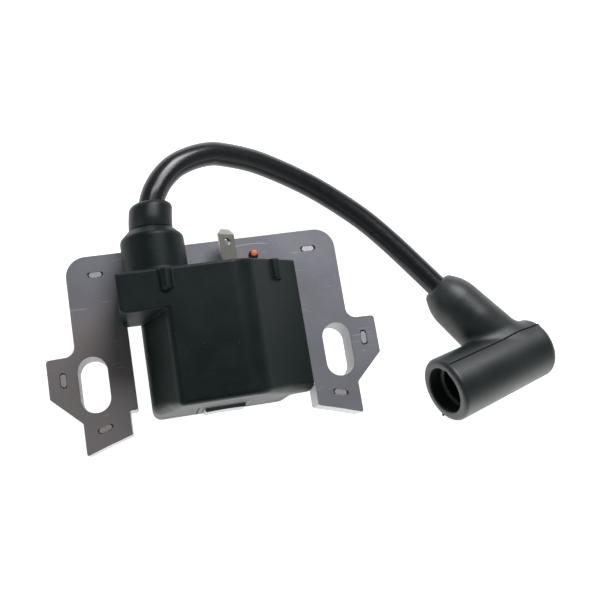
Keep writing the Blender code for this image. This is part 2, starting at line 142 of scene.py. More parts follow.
# the paper glows evenly to the eye; what it throws back is bright only beside the flywheel end
bench_white, tree, shader = new_material("bench_white", 0.6)
place = add_node(tree, "ShaderNodeTexCoord").outputs["Object"]
paper = add_node(tree, "ShaderNodeTexNoise", {"Vector": place, "Scale": 300.0, "Detail": 3.0})
fibre = add_node(tree, "ShaderNodeMapRange",
                 {"Value": paper.outputs["Fac"], "To Min": 0.55, "To Max": 0.75})
where = add_node(tree, "ShaderNodeSeparateXYZ", {0: place})
thrown = add_node(tree, "ShaderNodeMapRange", {"Value": where.outputs["Y"], "From Min": 0.0,
                                               "From Max": -0.04, "To Min": BENCH_FAR,
                                               "To Max": BENCH_NEAR})
tree.links.new(fibre.outputs[0], shader.inputs["Roughness"])
tree.links.new(seen_or_reflected(tree, 1.0, thrown.outputs[0]), shader.inputs["Emission Strength"])
shader.inputs["Base Color"].default_value = colour(0.5, 0.5, 0.51)
shader.inputs["Emission Color"].default_value = colour(1.0, 1.0, 1.0)
half = BENCH_SIZE / 2
bench = place_piece("bench", [(-half, -half, BENCH_HEIGHT), (half, -half, BENCH_HEIGHT),
                              (half, half, BENCH_HEIGHT), (-half, half, BENCH_HEIGHT)],
                    [(0, 1, 2, 3)], [bench_white])

world = bpy.data.worlds.new("tent")
world.use_nodes = True
bpy.context.scene.world = world
tree = world.node_tree
sky = add_node(tree, "ShaderNodeSeparateXYZ",
               {0: add_node(tree, "ShaderNodeTexCoord").outputs["Generated"]})
wall = add_node(tree, "ShaderNodeMapRange", {"Value": sky.outputs["Y"], "From Min": -0.2,
                                             "From Max": -0.9, "To Min": TENT_SIDE,
                                             "To Max": TENT_NEAR})
tent = add_node(tree, "ShaderNodeMapRange", {"Value": sky.outputs["Z"], "From Min": 0.15,
                                             "From Max": 0.8, "To Min": wall.outputs[0],
                                             "To Max": TENT_TOP})
backdrop = tree.nodes["Background"]
backdrop.inputs["Color"].default_value = colour(1.0, 1.0, 1.0)
tree.links.new(seen_or_reflected(tree, 1.0, tent.outputs[0]), backdrop.inputs["Strength"])
add_light("softbox", (195, 400, 450), (300, 260), 3.6, (0.99, 0.96, 1.0))
add_light("left_strip", (-380, 160, 260), (120, 320), 0.14, (0.95, 0.97, 1.0))
strip = add_light("lead_strip", (31, 83, 150), (135, 24), 0.1, (0.95, 0.93, 1.0))

# ---- high-tension lead ----
# A stranded copper conductor in thick black insulation, 6 mm across, pushed into the
# tower's grommet and the cap's neck. It keeps the bend that its stiffness gives it.
TOWER_X, TOWER_Z = -12.2, 28.5
GRIP_TOP = 39.6
CAP_CENTRE = np.array((79.3, -8.1, 10.1))
NECK_MOUTH = np.array((62.3, 14.5, 8.5))
BARREL_MOUTH = np.array((56.6, -14.3, 14.9))
LEAD_DIAMETER, LEAD_END_DEPTH = 6.0, 11.0
LEAD_STEP, LEAD_SIDES = 0.7, 36


def unit(vectors):
    return vectors / np.linalg.norm(vectors, axis=-1, keepdims=True)


def lean(y):
    """How far the lead has moved to +X at a height in the grommet: a parabola from y = 31."""
    return 0.0125 * np.maximum(0.0, y - 31.0) ** 2


def smooth_line(route, step):
    """Even points on a Catmull-Rom curve: each span is a cubic through its two points, with
    half the difference of their neighbours as its slope at either."""
    before, start = np.vstack((2 * route[0] - route[1], route[:-2])), route[:-1]
    end, after = route[1:], np.vstack((route[2:], 2 * route[-1] - route[-2]))
    t = np.linspace(0, 1, 40, endpoint=False)[:, None, None]
    spans = 0.5 * (2 * start + (end - before) * t
                   + (2 * before - 5 * start + 4 * end - after) * t ** 2
                   + (3 * start - before - 3 * end + after) * t ** 3)
    dense = np.vstack((spans.transpose(1, 0, 2).reshape(-1, 3), route[-1:]))
    travelled = np.append(0, np.cumsum(np.linalg.norm(np.diff(dense, axis=0), axis=1)))
    wanted = np.linspace(0, travelled[-1], round(travelled[-1] / step) + 1)
    return np.stack([np.interp(wanted, travelled, dense[:, k]) for k in range(3)], 1)


def grid_faces(rows, columns, close_rows=False):
    """Quads between neighbouring rows of a grid whose columns run round and close."""
    count = rows if close_rows else rows - 1
    row, column = np.meshgrid(np.arange(count), np.arange(columns), indexing="ij")
    above, beside = (row + 1) % rows, (column + 1) % columns
    corners = (row * columns + column, row * columns + beside,
               above * columns + beside, above * columns + column)
    return np.stack(corners, -1).reshape(-1, 4)


def tube_along(line, radius, sides):
    """Circles of a radius square to a line: centre + radius (cos a side + sin a top), where
    side is square to the line and to +Z. The two ends are closed by fans of one face."""
    tangent = unit(np.gradient(line, axis=0))
    side = unit(np.cross(tangent, (0.0, 0.0, 1.0)))
    top = np.cross(side, tangent)
    angle = np.linspace(0, 2 * np.pi, sides, endpoint=False)[:, None]
    radius = np.broadcast_to(np.asarray(radius, float), len(line))[:, None, None]
    rings = line[:, None] + radius * (np.cos(angle) * side[:, None] + np.sin(angle) * top[:, None])
    faces = grid_faces(len(line), sides)[:, ::-1].tolist()
    last = (len(line) - 1) * sides
    faces += [list(range(sides)), list(range(last + sides - 1, last - 1, -1))]
    return rings.reshape(-1, 3), faces


tower_part = np.array((25.6, 29, 32, 34.5, 37, GRIP_TOP))
route = np.stack((TOWER_X + lean(tower_part), tower_part, np.full(6, TOWER_Z)), 1)
route = np.vstack((route, [(-9.9, 42.9, 28.6), (-7.6, 46.2, 28.2), (-4.4, 49.1, 27.4),
                           (-0.4, 51.2, 26.0), (4.0, 52.6, 24.2), (8.1, 52.9, 22.3),
                           (16.2, 51.7, 18.6), (24.1, 48.9, 15.2), (31.8, 45.1, 12.4),
                           (39.0, 40.3, 10.4), (45.7, 34.7, 9.2), (51.6, 28.3, 8.6),
                           (57.1, 21.4, 8.4)]))
into_cap = unit(CAP_CENTRE - NECK_MOUTH)
lead_depth = np.linalg.norm(CAP_CENTRE - NECK_MOUTH) - LEAD_END_DEPTH
route = np.vstack((route, NECK_MOUTH + into_cap * lead_depth * np.arange(4)[:, None] / 3))
lead_line = smooth_line(route, LEAD_STEP)

lead_black, tree, shader = new_material("lead_insulation", 0.28, Specular_IOR_Level=0.5)
place = add_node(tree, "ShaderNodeTexCoord").outputs["Object"]
haze = add_node(tree, "ShaderNodeTexNoise",
                {"Vector": place, "Scale": 420.0, "Detail": 5.0, "Roughness": 0.6})
speck = add_node(tree, "ShaderNodeTexNoise", {"Vector": place, "Scale": 5200.0, "Detail": 2.0})
tone = add_node(tree, "ShaderNodeMix", {0: haze.outputs["Fac"], 6: colour(0.003, 0.0045, 0.0045),
                                        7: colour(0.008, 0.009, 0.0105)}, data_type="RGBA")
tree.links.new(tone.outputs[2], shader.inputs["Base Color"])
sheen = add_node(tree, "ShaderNodeMapRange", {"Value": haze.outputs["Fac"], "From Min": 0.3,
                                              "From Max": 0.7, "To Min": 0.22, "To Max": 0.28})
tree.links.new(sheen.outputs[0], shader.inputs["Roughness"])
skin_bump = add_node(tree, "ShaderNodeBump",
                     {"Height": speck.outputs["Fac"], "Strength": 0.05, "Distance": 0.00001})
tree.links.new(skin_bump.outputs[0], shader.inputs["Normal"])
lead = place_piece("high_tension_lead", *tube_along(lead_line, LEAD_DIAMETER / 2, LEAD_SIDES),
                   [lead_black])
lead.data.set_sharp_from_angle(angle=1.0)
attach(lead, "coil")
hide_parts("ht_lead")

# ---- plug cap ----
# A right-angled boot of black rubber, moulded in one piece over the spring clip: a barrel
# that takes the spark plug and a neck that grips the lead. It turns on the lead.
BARREL_RADIUS, BARREL_BACK_RADIUS, BARREL_BACK, BARREL_BORE = 8.6, 8.1, 8.6, 6.1
TAPER = 32.0
NECK_RADIUS, NECK_ROOT_RADIUS, NECK_MOUTH_RADIUS, NECK_COLLAR = 6.8, 7.8, 4.2, 4.6
CAP_CELL, BACK_EDGE = 0.32, 2.0
NECK_AXIS, NECK_LENGTH = unit(NECK_MOUTH - CAP_CENTRE), np.linalg.norm(NECK_MOUTH - CAP_CENTRE)
NECK_FACE = unit(np.array((-0.33, -0.18, 0.93)))
NECK_FACE = unit(NECK_FACE - NECK_AXIS * (NECK_FACE @ NECK_AXIS))
BARREL_AXIS = unit(BARREL_MOUTH - CAP_CENTRE)
BARREL_LENGTH = np.linalg.norm(BARREL_MOUTH - CAP_CENTRE)
SEAM_SIDE = np.array((-0.16, 0.64, 0.75))
SEAM_SIDE = unit(SEAM_SIDE - BARREL_AXIS * (SEAM_SIDE @ BARREL_AXIS))
RIM_NOTCH = BARREL_MOUTH + 6.6 * SEAM_SIDE + 0.2 * BARREL_AXIS


def edge_between(first, second, radius):
    """What is inside both of two distance fields: the larger distance, but within a radius
    of the edge the length of the two distances as if they were square, so it is an arc."""
    return (np.minimum(np.maximum(first, second), -radius)
            + np.hypot(np.maximum(first + radius, 0), np.maximum(second + radius, 0)))


def joined(first, second, fillet):
    """What is inside either of two distance fields, with a fillet where they meet."""
    return -edge_between(-first, -second, fillet)


def along_axis(points, centre, axis):
    """Distance along an axis through a centre, and distance from it."""
    offset = points - centre
    along = offset @ axis
    return along, np.linalg.norm(offset - along[..., None] * axis, axis=-1)


def skin_of(field, low, high, cell):
    """The surface where a distance field is zero. Each grid cell that the surface crosses
    gets the mean of its edges' crossings as a corner, each grid edge that it crosses gets a
    quad between the four cells round it, and the corners then slide down the field's slope
    on to the surface. Returns corners, quads and the field's own slope as normals."""
    axes = [np.arange(a, b + cell, cell) for a, b in zip(low, high)]
    value = field(np.stack(np.meshgrid(*axes, indexing="ij"), -1))
    inside = value < 0
    steps = np.array([(i, j, k) for i in (0, 1) for j in (0, 1) for k in (0, 1)])
    pairs = [(a, b) for a in range(8) for b in range(a, 8)
             if np.abs(steps[a] - steps[b]).sum() == 1]
    near, far = np.array(pairs).T
    shape = np.array(value.shape) - 1
    full = sum(inside[i:i + shape[0], j:j + shape[1], k:k + shape[2]].astype(np.int8)
               for i, j, k in steps)
    cells = np.argwhere((full > 0) & (full < 8))
    at = value[tuple((cells[:, None] + steps).transpose(2, 0, 1))]
    crossed = (at[:, near] < 0) != (at[:, far] < 0)
    share = np.where(crossed, at[:, near] / np.where(crossed, at[:, near] - at[:, far], 1), 0)
    spots = steps[near] + share[..., None] * (steps[far] - steps[near])
    middle = (spots * crossed[..., None]).sum(1) / crossed.sum(1)[:, None]
    corners = np.array([a[0] for a in axes]) + (cells + middle) * cell

    number = np.full(shape, -1)
    number[tuple(cells.T)] = np.arange(len(cells))
    quads = []
    for axis in range(3):
        beside, behind = np.eye(3, dtype=int)[(axis + 1) % 3], np.eye(3, dtype=int)[(axis + 2) % 3]
        core = tuple(slice(1, n) if k != axis else slice(0, n) for k, n in enumerate(shape))
        ahead = tuple(slice(1, n) if k != axis else slice(1, n + 1) for k, n in enumerate(shape))
        for goes_out in (True, False):
            hit = np.argwhere((inside[core] == goes_out) & (inside[ahead] != goes_out))
            hit = hit + 1 - np.eye(3, dtype=int)[axis]
            ring = [number[tuple((hit - shift).T)]
                    for shift in (0 * beside, beside, beside + behind, behind)]
            quads.append(np.stack(ring if goes_out else ring[::-1], 1))

    def slope(points):
        reach = 0.02
        return np.stack([field(points + step) - field(points - step)
                         for step in np.eye(3) * reach], -1) / (2 * reach)

    for _ in range(4):
        steepness = slope(corners)
        size = np.maximum((steepness ** 2).sum(-1), 0.2)
        corners = corners - (field(corners) / size)[:, None] * steepness
    return corners, np.vstack(quads).tolist(), unit(slope(corners))


def barrel_radius(t):
    """The barrel's radius t along its axis: it grows from the closed end to the mouth."""
    return BARREL_BACK_RADIUS + (BARREL_RADIUS - BARREL_BACK_RADIUS) * (t + BARREL_BACK) / TAPER


def cap_field(points):
    """A tapering barrel and a tapering neck, each the distance from its axis less a radius
    that changes along it, joined with a fillet and bored from both mouths. The neck is
    flattened towards the barrel, so that the seam runs clear of it."""
    t, from_barrel = along_axis(points, CAP_CENTRE, BARREL_AXIS)
    s, from_neck = along_axis(points, CAP_CENTRE, NECK_AXIS)
    barrel = edge_between(from_barrel - barrel_radius(t), -BARREL_BACK - t, BACK_EDGE)
    barrel = edge_between(barrel, t - BARREL_LENGTH, 1.2)
    height = (points - CAP_CENTRE) @ NECK_FACE
    nearness = np.clip((15 - s) / 12, 0, 1)
    flattening = 1 + 0.3 * nearness ** 2 * (3 - 2 * nearness)
    across = np.sqrt(np.maximum(from_neck ** 2 - height ** 2, 0))
    neck = np.hypot(across, height * flattening) - NECK_ROOT_RADIUS
    neck = neck + (NECK_ROOT_RADIUS - NECK_RADIUS) * s / 24
    collar_slope = (NECK_RADIUS - NECK_MOUTH_RADIUS) / NECK_COLLAR
    collar = from_neck - NECK_MOUTH_RADIUS + (s - NECK_LENGTH) * collar_slope
    neck = edge_between(neck, collar * 0.9, 1.2)
    neck = edge_between(neck, s - NECK_LENGTH, 1.0)
    neck = edge_between(neck, -s, 0.5)
    outside = joined(barrel, neck, 2.0)
    rings = 0.75 * np.exp(-((t - 19.3) / 0.55) ** 2) + 0.6 * np.exp(-((t - 15.4) / 0.6) ** 2)
    bore = from_barrel - BARREL_BORE + rings + 1.1 * np.clip(10.7 - t, 0, 1)
    bore = edge_between(bore, -4 - t, 0.4)
    lead_bore = np.maximum(from_neck - 3.08, 3 - s)
    notch = np.linalg.norm(points - RIM_NOTCH, axis=-1) - 0.6
    outside = edge_between(outside, -notch, 0.2)
    return edge_between(edge_between(outside, -bore, 0.55), -lead_bore, 0.3)


def moulded_surface():
    """Node group: the fine grain, dull patches, dust and rubbed edges of a black moulding."""
    tree = bpy.data.node_groups.new("moulded_surface", "ShaderNodeTree")
    sockets = tree.interface
    for name, kind, default in (("Colour", "NodeSocketColor", colour(0.02, 0.02, 0.02)),
                                ("Grain Scale", "NodeSocketFloat", 3000.0),
                                ("Grain Depth", "NodeSocketFloat", 0.3),
                                ("Dull", "NodeSocketFloat", 0.55),
                                ("Dust", "NodeSocketFloat", 0.3),
                                ("Scratches", "NodeSocketFloat", 0.2)):
        sockets.new_socket(name=name, in_out="INPUT", socket_type=kind).default_value = default
    for name, kind in (("Colour", "NodeSocketColor"), ("Roughness", "NodeSocketFloat"),
                       ("Normal", "NodeSocketVector")):
        sockets.new_socket(name=name, in_out="OUTPUT", socket_type=kind)
    given = tree.nodes.new("NodeGroupInput").outputs
    place = add_node(tree, "ShaderNodeTexCoord").outputs["Object"]
    grain = add_node(tree, "ShaderNodeTexNoise", {"Vector": place, "Scale": given["Grain Scale"],
                                                  "Detail": 4.0, "Roughness": 0.6})
    patches = add_node(tree, "ShaderNodeTexNoise",
                       {"Vector": place, "Scale": 110.0, "Detail": 5.0, "Roughness": 0.62})
    fluff = add_node(tree, "ShaderNodeTexNoise",
                     {"Vector": place, "Scale": 1500.0, "Detail": 2.0, "Distortion": 0.6})
    specks = add_node(tree, "ShaderNodeMapRange",
                      {"Value": fluff.outputs["Fac"], "From Min": 0.7, "From Max": 0.78})
    slanted = add_node(tree, "ShaderNodeMapping",
                       {"Vector": place, "Rotation": (0.3, 0.2, 0.7), "Scale": (1.0, 0.02, 1.0)})
    hairs = add_node(tree, "ShaderNodeTexNoise",
                     {"Vector": slanted.outputs[0], "Scale": 1300.0, "Detail": 1.0})
    lines = add_node(tree, "ShaderNodeMapRange",
                     {"Value": hairs.outputs["Fac"], "From Min": 0.74, "From Max": 0.8})
    some = add_node(tree, "ShaderNodeMapRange",
                    {"Value": patches.outputs["Fac"], "From Min": 0.5, "From Max": 0.62})
    lines = add_node(tree, "ShaderNodeMath", {0: lines.outputs[0], 1: some.outputs[0]},
                     operation="MULTIPLY")
    bend = add_node(tree, "ShaderNodeNewGeometry").outputs["Pointiness"]
    rubbed = add_node(tree, "ShaderNodeMapRange",
                      {"Value": bend, "From Min": 0.52, "From Max": 0.6, "To Max": 0.12})
    dust = add_node(tree, "ShaderNodeMath", {0: specks.outputs[0], 1: given["Dust"]},
                    operation="MULTIPLY")
    marks = add_node(tree, "ShaderNodeMath", {0: lines.outputs[0], 1: given["Scratches"]},
                     operation="MULTIPLY")
    light = add_node(tree, "ShaderNodeMath", {0: dust.outputs[0], 1: marks.outputs[0]})
    light = add_node(tree, "ShaderNodeMath", {0: light.outputs[0], 1: rubbed.outputs[0]},
                     operation="ADD", use_clamp=True)
    tint = add_node(tree, "ShaderNodeMapRange", {"Value": patches.outputs["Fac"],
                                                 "From Min": 0.3, "From Max": 0.7,
                                                 "To Min": 0.7, "To Max": 1.35})
    base = add_node(tree, "ShaderNodeMix", {0: 1.0, 6: given["Colour"], 7: tint.outputs[0]},
                    data_type="RGBA", blend_type="MULTIPLY")
    worn = add_node(tree, "ShaderNodeMix", {0: light.outputs[0], 6: base.outputs[2],
                                            7: colour(0.16, 0.165, 0.165)}, data_type="RGBA")
    shift = add_node(tree, "ShaderNodeMapRange", {"Value": patches.outputs["Fac"],
                                                  "From Min": 0.3, "From Max": 0.7,
                                                  "To Min": -0.06, "To Max": 0.06})
    dull = add_node(tree, "ShaderNodeMath", {0: given["Dull"], 1: shift.outputs[0]})
    height = add_node(tree, "ShaderNodeMath", {0: grain.outputs["Fac"], 1: marks.outputs[0]},
                      operation="SUBTRACT")
    bump = add_node(tree, "ShaderNodeBump", {"Height": height.outputs[0], "Distance": 0.00006,
                                             "Strength": given["Grain Depth"]})
    result = tree.nodes.new("NodeGroupOutput").inputs
    tree.links.new(worn.outputs[2], result["Colour"])
    tree.links.new(dull.outputs[0], result["Roughness"])
    tree.links.new(bump.outputs[0], result["Normal"])
    return tree


MOULDED = moulded_surface()


def moulded(name, tint, dull, grain_scale, grain_depth, dust, scratches, **sockets):
    """A moulding's material from the shared surface group."""
    made, tree, shader = new_material(name, dull, **sockets)
    surface = add_node(tree, "ShaderNodeGroup", node_tree=MOULDED)
    for socket, value in (("Colour", colour(*tint)), ("Dull", dull), ("Grain Scale", grain_scale),
                          ("Grain Depth", grain_depth), ("Dust", dust), ("Scratches", scratches)):
        surface.inputs[socket].default_value = value
    tree.links.new(surface.outputs["Colour"], shader.inputs["Base Color"])
    tree.links.new(surface.outputs["Roughness"], shader.inputs["Roughness"])
    tree.links.new(surface.outputs["Normal"], shader.inputs["Normal"])
    return made


cap_rubber = moulded("cap_rubber", (0.008, 0.0135, 0.013), 0.45, 2600.0, 0.5, 0.12, 0.1,
                     Specular_IOR_Level=0.64)
# the seam and the rag of flash are drawn in a darker, duller rubber than the cap: painted shade
# along them
flash_rubber_painted_shade = moulded("flash_rubber_painted_shade", (0.002, 0.003, 0.003), 0.8, 2600.0, 0.5, 0.0, 0.0,
                      Specular_IOR_Level=0.1)
reach = BARREL_RADIUS + 1.7
corners = np.stack((NECK_MOUTH, BARREL_MOUTH, CAP_CENTRE - BARREL_BACK * BARREL_AXIS, CAP_CENTRE))
corners, quads, normals = skin_of(cap_field, corners.min(0) - reach, corners.max(0) + reach,
                                  CAP_CELL)
cap = place_piece("plug_cap", corners, quads, [cap_rubber], normals=normals)
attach(cap, "plug_cap")
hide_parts("plug_cap_boot")

# The mould's two halves met along the barrel and round its closed end, and left a thin seam.
# Its points on the barrel are slid on to the skin, which the neck's fillet lifts there.
SEAM_STEPS = 60
t = np.linspace(BARREL_LENGTH - 1.0, BACK_EDGE - BARREL_BACK, SEAM_STEPS)
radius = barrel_radius(t)
turn_angle = np.linspace(0, np.pi / 2, 16)[1:]
t = np.append(t, BACK_EDGE - BARREL_BACK - BACK_EDGE * np.sin(turn_angle))
radius = np.append(radius, radius[-1] - BACK_EDGE + BACK_EDGE * np.cos(turn_angle)) - 0.02
seam_line = CAP_CENTRE + t[:, None] * BARREL_AXIS + radius[:, None] * SEAM_SIDE
for _ in range(6):
    seam_line[:SEAM_STEPS] -= (cap_field(seam_line[:SEAM_STEPS]) + 0.02)[:, None] * SEAM_SIDE
# the seam's darker, duller rubber is painted shade along the ridge
seam = place_piece("cap_seam", *tube_along(seam_line, 0.2, 10), [flash_rubber_painted_shade])
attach(seam, "plug_cap")

# a rag of flash was left where the seam meets the rim on the far side
rag_line = BARREL_MOUTH - SEAM_SIDE * np.linspace(7.6, 9.1, 8)[:, None] - 0.6 * BARREL_AXIS
# the rag takes the same darker rubber, as painted shade
rag = place_piece("cap_rag", *tube_along(rag_line, np.linspace(0.5, 0.25, 8), 12), [flash_rubber_painted_shade])
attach(rag, "plug_cap")

# ---- plug clip and its pin ----
# A split ring of spring steel that snaps on the spark plug's nut, held in the barrel, and
# a brass pin from it that screws into the lead's strands.


def turned(profile, centre, axis, sides):
    """A closed profile of (radius, height) turned about an axis: centre + height axis +
    radius (cos a across + sin a beside). Points at radius 0 are left as rings of coincident
    points, which tidy_mesh merges into a pole."""
    radius, height = np.array(profile, float).T
    across = unit(np.cross(axis, (0.31, 0.22, 0.93)))
    beside = np.cross(axis, across)
    angle = np.linspace(0, 2 * np.pi, sides, endpoint=False)[:, None]
    around = np.cos(angle) * across + np.sin(angle) * beside
    rings = centre + height[:, None, None] * np.asarray(axis) + radius[:, None, None] * around
    return rings.reshape(-1, 3), grid_faces(len(profile), sides, close_rows=True).tolist()


def softened(outline, radius, steps=4):
    """A closed outline with each corner cut back and replaced by a quadratic curve through
    (1-t)^2 a + 2t(1-t) corner + t^2 b, where a and b lie a radius away along the sides."""
    corner = np.array(outline, float)
    before, after = np.roll(corner, 1, 0) - corner, np.roll(corner, -1, 0) - corner
    cut = [np.minimum(radius, 0.45 * np.linalg.norm(side, axis=1, keepdims=True))
           for side in (before, after)]
    a, b = corner + unit(before) * cut[0], corner + unit(after) * cut[1]
    t = np.linspace(0, 1, steps + 1)[None, :, None]
    curve = (1 - t) ** 2 * a[:, None] + 2 * t * (1 - t) * corner[:, None] + t ** 2 * b[:, None]
    return curve.reshape(-1, 2)


def tidy_mesh(piece, angle=0.6):
    """Merge coincident corners, point the faces outwards, and mark the sharp edges."""
    bm = bmesh.new()
    bm.from_mesh(piece.data)
    bmesh.ops.remove_doubles(bm, verts=bm.verts, dist=2e-7)
    bmesh.ops.dissolve_degenerate(bm, edges=bm.edges, dist=1e-8)
    bare = [edge for edge in bm.edges if not edge.link_faces]
    bmesh.ops.delete(bm, geom=bare, context="EDGES")
    bmesh.ops.recalc_face_normals(bm, faces=bm.faces)
    bm.to_mesh(piece.data)
    bm.free()
    piece.data.set_sharp_from_angle(angle=angle)
    return piece


def metal(name, tint, shade, rough, streak, metallic=1.0, **sockets):
    """A metal with fine drawn streaks along Y, blotches of a second tint and grain."""
    made, tree, shader = new_material(name, rough, metallic, **sockets)
    place = add_node(tree, "ShaderNodeTexCoord").outputs["Object"]
    drawn = add_node(tree, "ShaderNodeMapping", {"Vector": place, "Scale": (1.0, streak, 1.0)})
    lines = add_node(tree, "ShaderNodeTexNoise",
                     {"Vector": drawn.outputs[0], "Scale": 3500.0, "Detail": 3.0})
    blotch = add_node(tree, "ShaderNodeTexNoise",
                      {"Vector": place, "Scale": 260.0, "Detail": 6.0, "Roughness": 0.65})
    tone = add_node(tree, "ShaderNodeMix", {0: blotch.outputs["Fac"], 6: colour(*tint),
                                            7: colour(*shade)}, data_type="RGBA")
    tree.links.new(tone.outputs[2], shader.inputs["Base Color"])
    dull = add_node(tree, "ShaderNodeMapRange", {"Value": lines.outputs["Fac"], "From Min": 0.3,
                                                 "From Max": 0.7, "To Min": rough - 0.07,
                                                 "To Max": rough + 0.09})
    tree.links.new(dull.outputs[0], shader.inputs["Roughness"])
    bump = add_node(tree, "ShaderNodeBump",
                    {"Height": lines.outputs["Fac"], "Strength": 0.3, "Distance": 0.00002})
    tree.links.new(bump.outputs[0], shader.inputs["Normal"])
    return made


spring_steel = metal("spring_steel", (0.4, 0.4, 0.42), (0.3, 0.3, 0.31), 0.3, 1.0)
brass = metal("turned_brass", (0.72, 0.55, 0.26), (0.6, 0.44, 0.2), 0.3, 1.0)
clip_profile = softened([(3.6, -2.5), (4.3, -2.5), (4.3, 7.5), (4.7, 8.5), (4.1, 8.5),
                         (3.6, 7.5)], 0.15)
clip = tidy_mesh(place_piece("cap_clip", *turned(clip_profile, CAP_CENTRE, BARREL_AXIS, 48),
                             [spring_steel]))
pin_profile = softened([(0, 5.3), (0.9, 5.3), (0.9, 9.6), (2.5, 9.6), (2.5, 10.7), (0, 10.7)],
                       0.12)
pin_profile[:, 0] = np.maximum(pin_profile[:, 0], 0)
clip_pin = tidy_mesh(place_piece("cap_clip_pin", *turned(pin_profile, CAP_CENTRE, NECK_AXIS, 32),
                                 [brass]))
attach(clip, "plug_cap")
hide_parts("plug_clip")
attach(clip_pin, "coil")
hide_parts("clip_pin")

# ---- case ----
# A thin-walled box of black glass-filled nylon, open at its back, moulded with the tower
# that holds the lead, two ribs at its top edge and a slot for the stop terminal.
CASE_FRONT, CORE_FACE = 38.5, 19.8
CASE_BOTTOM, CASE_TOP, CASE_REAR_TOP, TOP_DRAFT = -9.6, 21.8, 17.7, 0.1
CASE_LEFT, CASE_RIGHT, CASE_FLARE = -17.4, 17.8, 22.0
BLADE_X, BLADE_Z, BLADE_TURN = 5.8, 24.5, np.radians(32)
CASE_CELL = 0.47


def beyond(x, z, start, end):
    """Distance to the right of a line in the XZ plane, looking from start to end."""
    run, rise = end[0] - start[0], end[1] - start[1]
    return ((x - start[0]) * rise - (z - start[1]) * run) / np.hypot(run, rise)


def case_field(points):
    """The larger of the distances to the case's faces, with its edges rounded, joined to a
    block, a tower and two ribs, less the hollow, the leg's tunnel, the tower's bore and the
    holes for the bobbin's foot and the blade."""
    x, y, z = points[..., 0], points[..., 1], points[..., 2]
    behind = CASE_FRONT - z
    top = y - CASE_TOP - TOP_DRAFT * behind
    left_facet = beyond(x, z, (-11.3, CASE_FRONT), (CASE_LEFT, 19.5))
    right_facet = beyond(x, z, (CASE_FLARE, 22.5), (7.6, CASE_FRONT))
    sides = edge_between(-behind, left_facet, 1.1)
    sides = edge_between(sides, CASE_LEFT - x, 1.0)
    sides = edge_between(sides, right_facet, 2.5)
    sides = edge_between(sides, -z, 0.4)
    upper = edge_between(np.maximum(CORE_FACE - z, x - CASE_FLARE), top, 0.35)
    rear = edge_between(x - CASE_RIGHT, y - CASE_REAR_TOP, 0.6)
    body = edge_between(sides, joined(upper, rear, 0.3), 0.4)
    body = edge_between(body, CASE_BOTTOM - y, 1.1 + 1.4 * np.clip(behind / 9, 0, 1))

    block = edge_between(-21.7 - x, 12.5 - y, 1.5)
    block = edge_between(edge_between(block, -behind, 0.45), top, 0.35)
    body = np.minimum(body, np.maximum(block, np.maximum(x + 9.0, CORE_FACE - z)))
    for rib_x, rib_y, rib_z in ((-10.6, 16.6, 38.2), (15.6, 17.4, 29.3)):
        rib = edge_between(np.hypot(x - rib_x, z - rib_z) - 1.5, rib_y - y, 0.5)
        body = joined(body, edge_between(rib, top, 0.3), 0.15)
    from_axis = np.hypot(x - TOWER_X, z - TOWER_Z)
    chamfer = ((from_axis - 7.5) * 2.2 + (y - 31.2) * 2.2) / 3.11
    tower = edge_between(from_axis - 7.6 + (y - 20.7) * 0.0095, chamfer, 0.4)
    tower = np.maximum(edge_between(tower, y - 33.4, 0.3), 18 - y)
    body = joined(body, tower, 0.7)

    hollow = np.maximum(np.maximum(1.6 - behind, left_facet + 1.85), right_facet + 1.75)
    hollow = np.maximum(np.maximum(hollow, -15.4 - x), -8.1 - y)
    front_part = np.maximum(np.maximum(21.6 - z, x - 20.0), y - 19.9)
    hollow = np.maximum(hollow, np.minimum(front_part, np.maximum(x - 16.2, y - 16.1)))
    tunnel = np.maximum(np.abs(x) - 5.3, np.abs(z - 15) - 4.8)
    foot = np.maximum(np.abs(x) - 6.45, np.abs(z - 15) - 8.45)
    foot = np.minimum(foot, np.maximum(np.abs(x - 0.8) - 4.1, np.abs(z - 23.6) - 0.35))
    foot = np.maximum(foot, y + 8.0)
    bore = np.minimum(np.maximum(from_axis - 4.9, 26.2 - y), np.maximum(from_axis - 3.5, 21.2 - y))
    bore = np.minimum(bore, np.maximum(from_axis - 1.1, 17 - y))
    across = (x - BLADE_X) * np.cos(BLADE_TURN) - (z - BLADE_Z) * np.sin(BLADE_TURN)
    through = (x - BLADE_X) * np.sin(BLADE_TURN) + (z - BLADE_Z) * np.cos(BLADE_TURN)
    slot = np.maximum(np.maximum(np.abs(across) - 2.7, np.abs(through) - 0.7), 17 - y)
    for opening, radius in ((hollow, 0.3), (tunnel, 0.15), (foot, 0.15), (bore, 0.25),
                            (slot, 0.15)):
        body = edge_between(body, -opening, radius)
    return body


case_plastic = moulded("case_plastic", (0.003, 0.0092, 0.008), 0.45, 3400.0, 0.4, 0.2, 0.6,
                       Specular_IOR_Level=0.2)
corners, quads, normals = skin_of(case_field, (-23.0, -11.6, -1.3), (23.3, 34.6, 41.0), CASE_CELL)
case = place_piece("coil_case", corners, quads, [case_plastic], normals=normals)
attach(case, "coil")
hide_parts("case_shell")

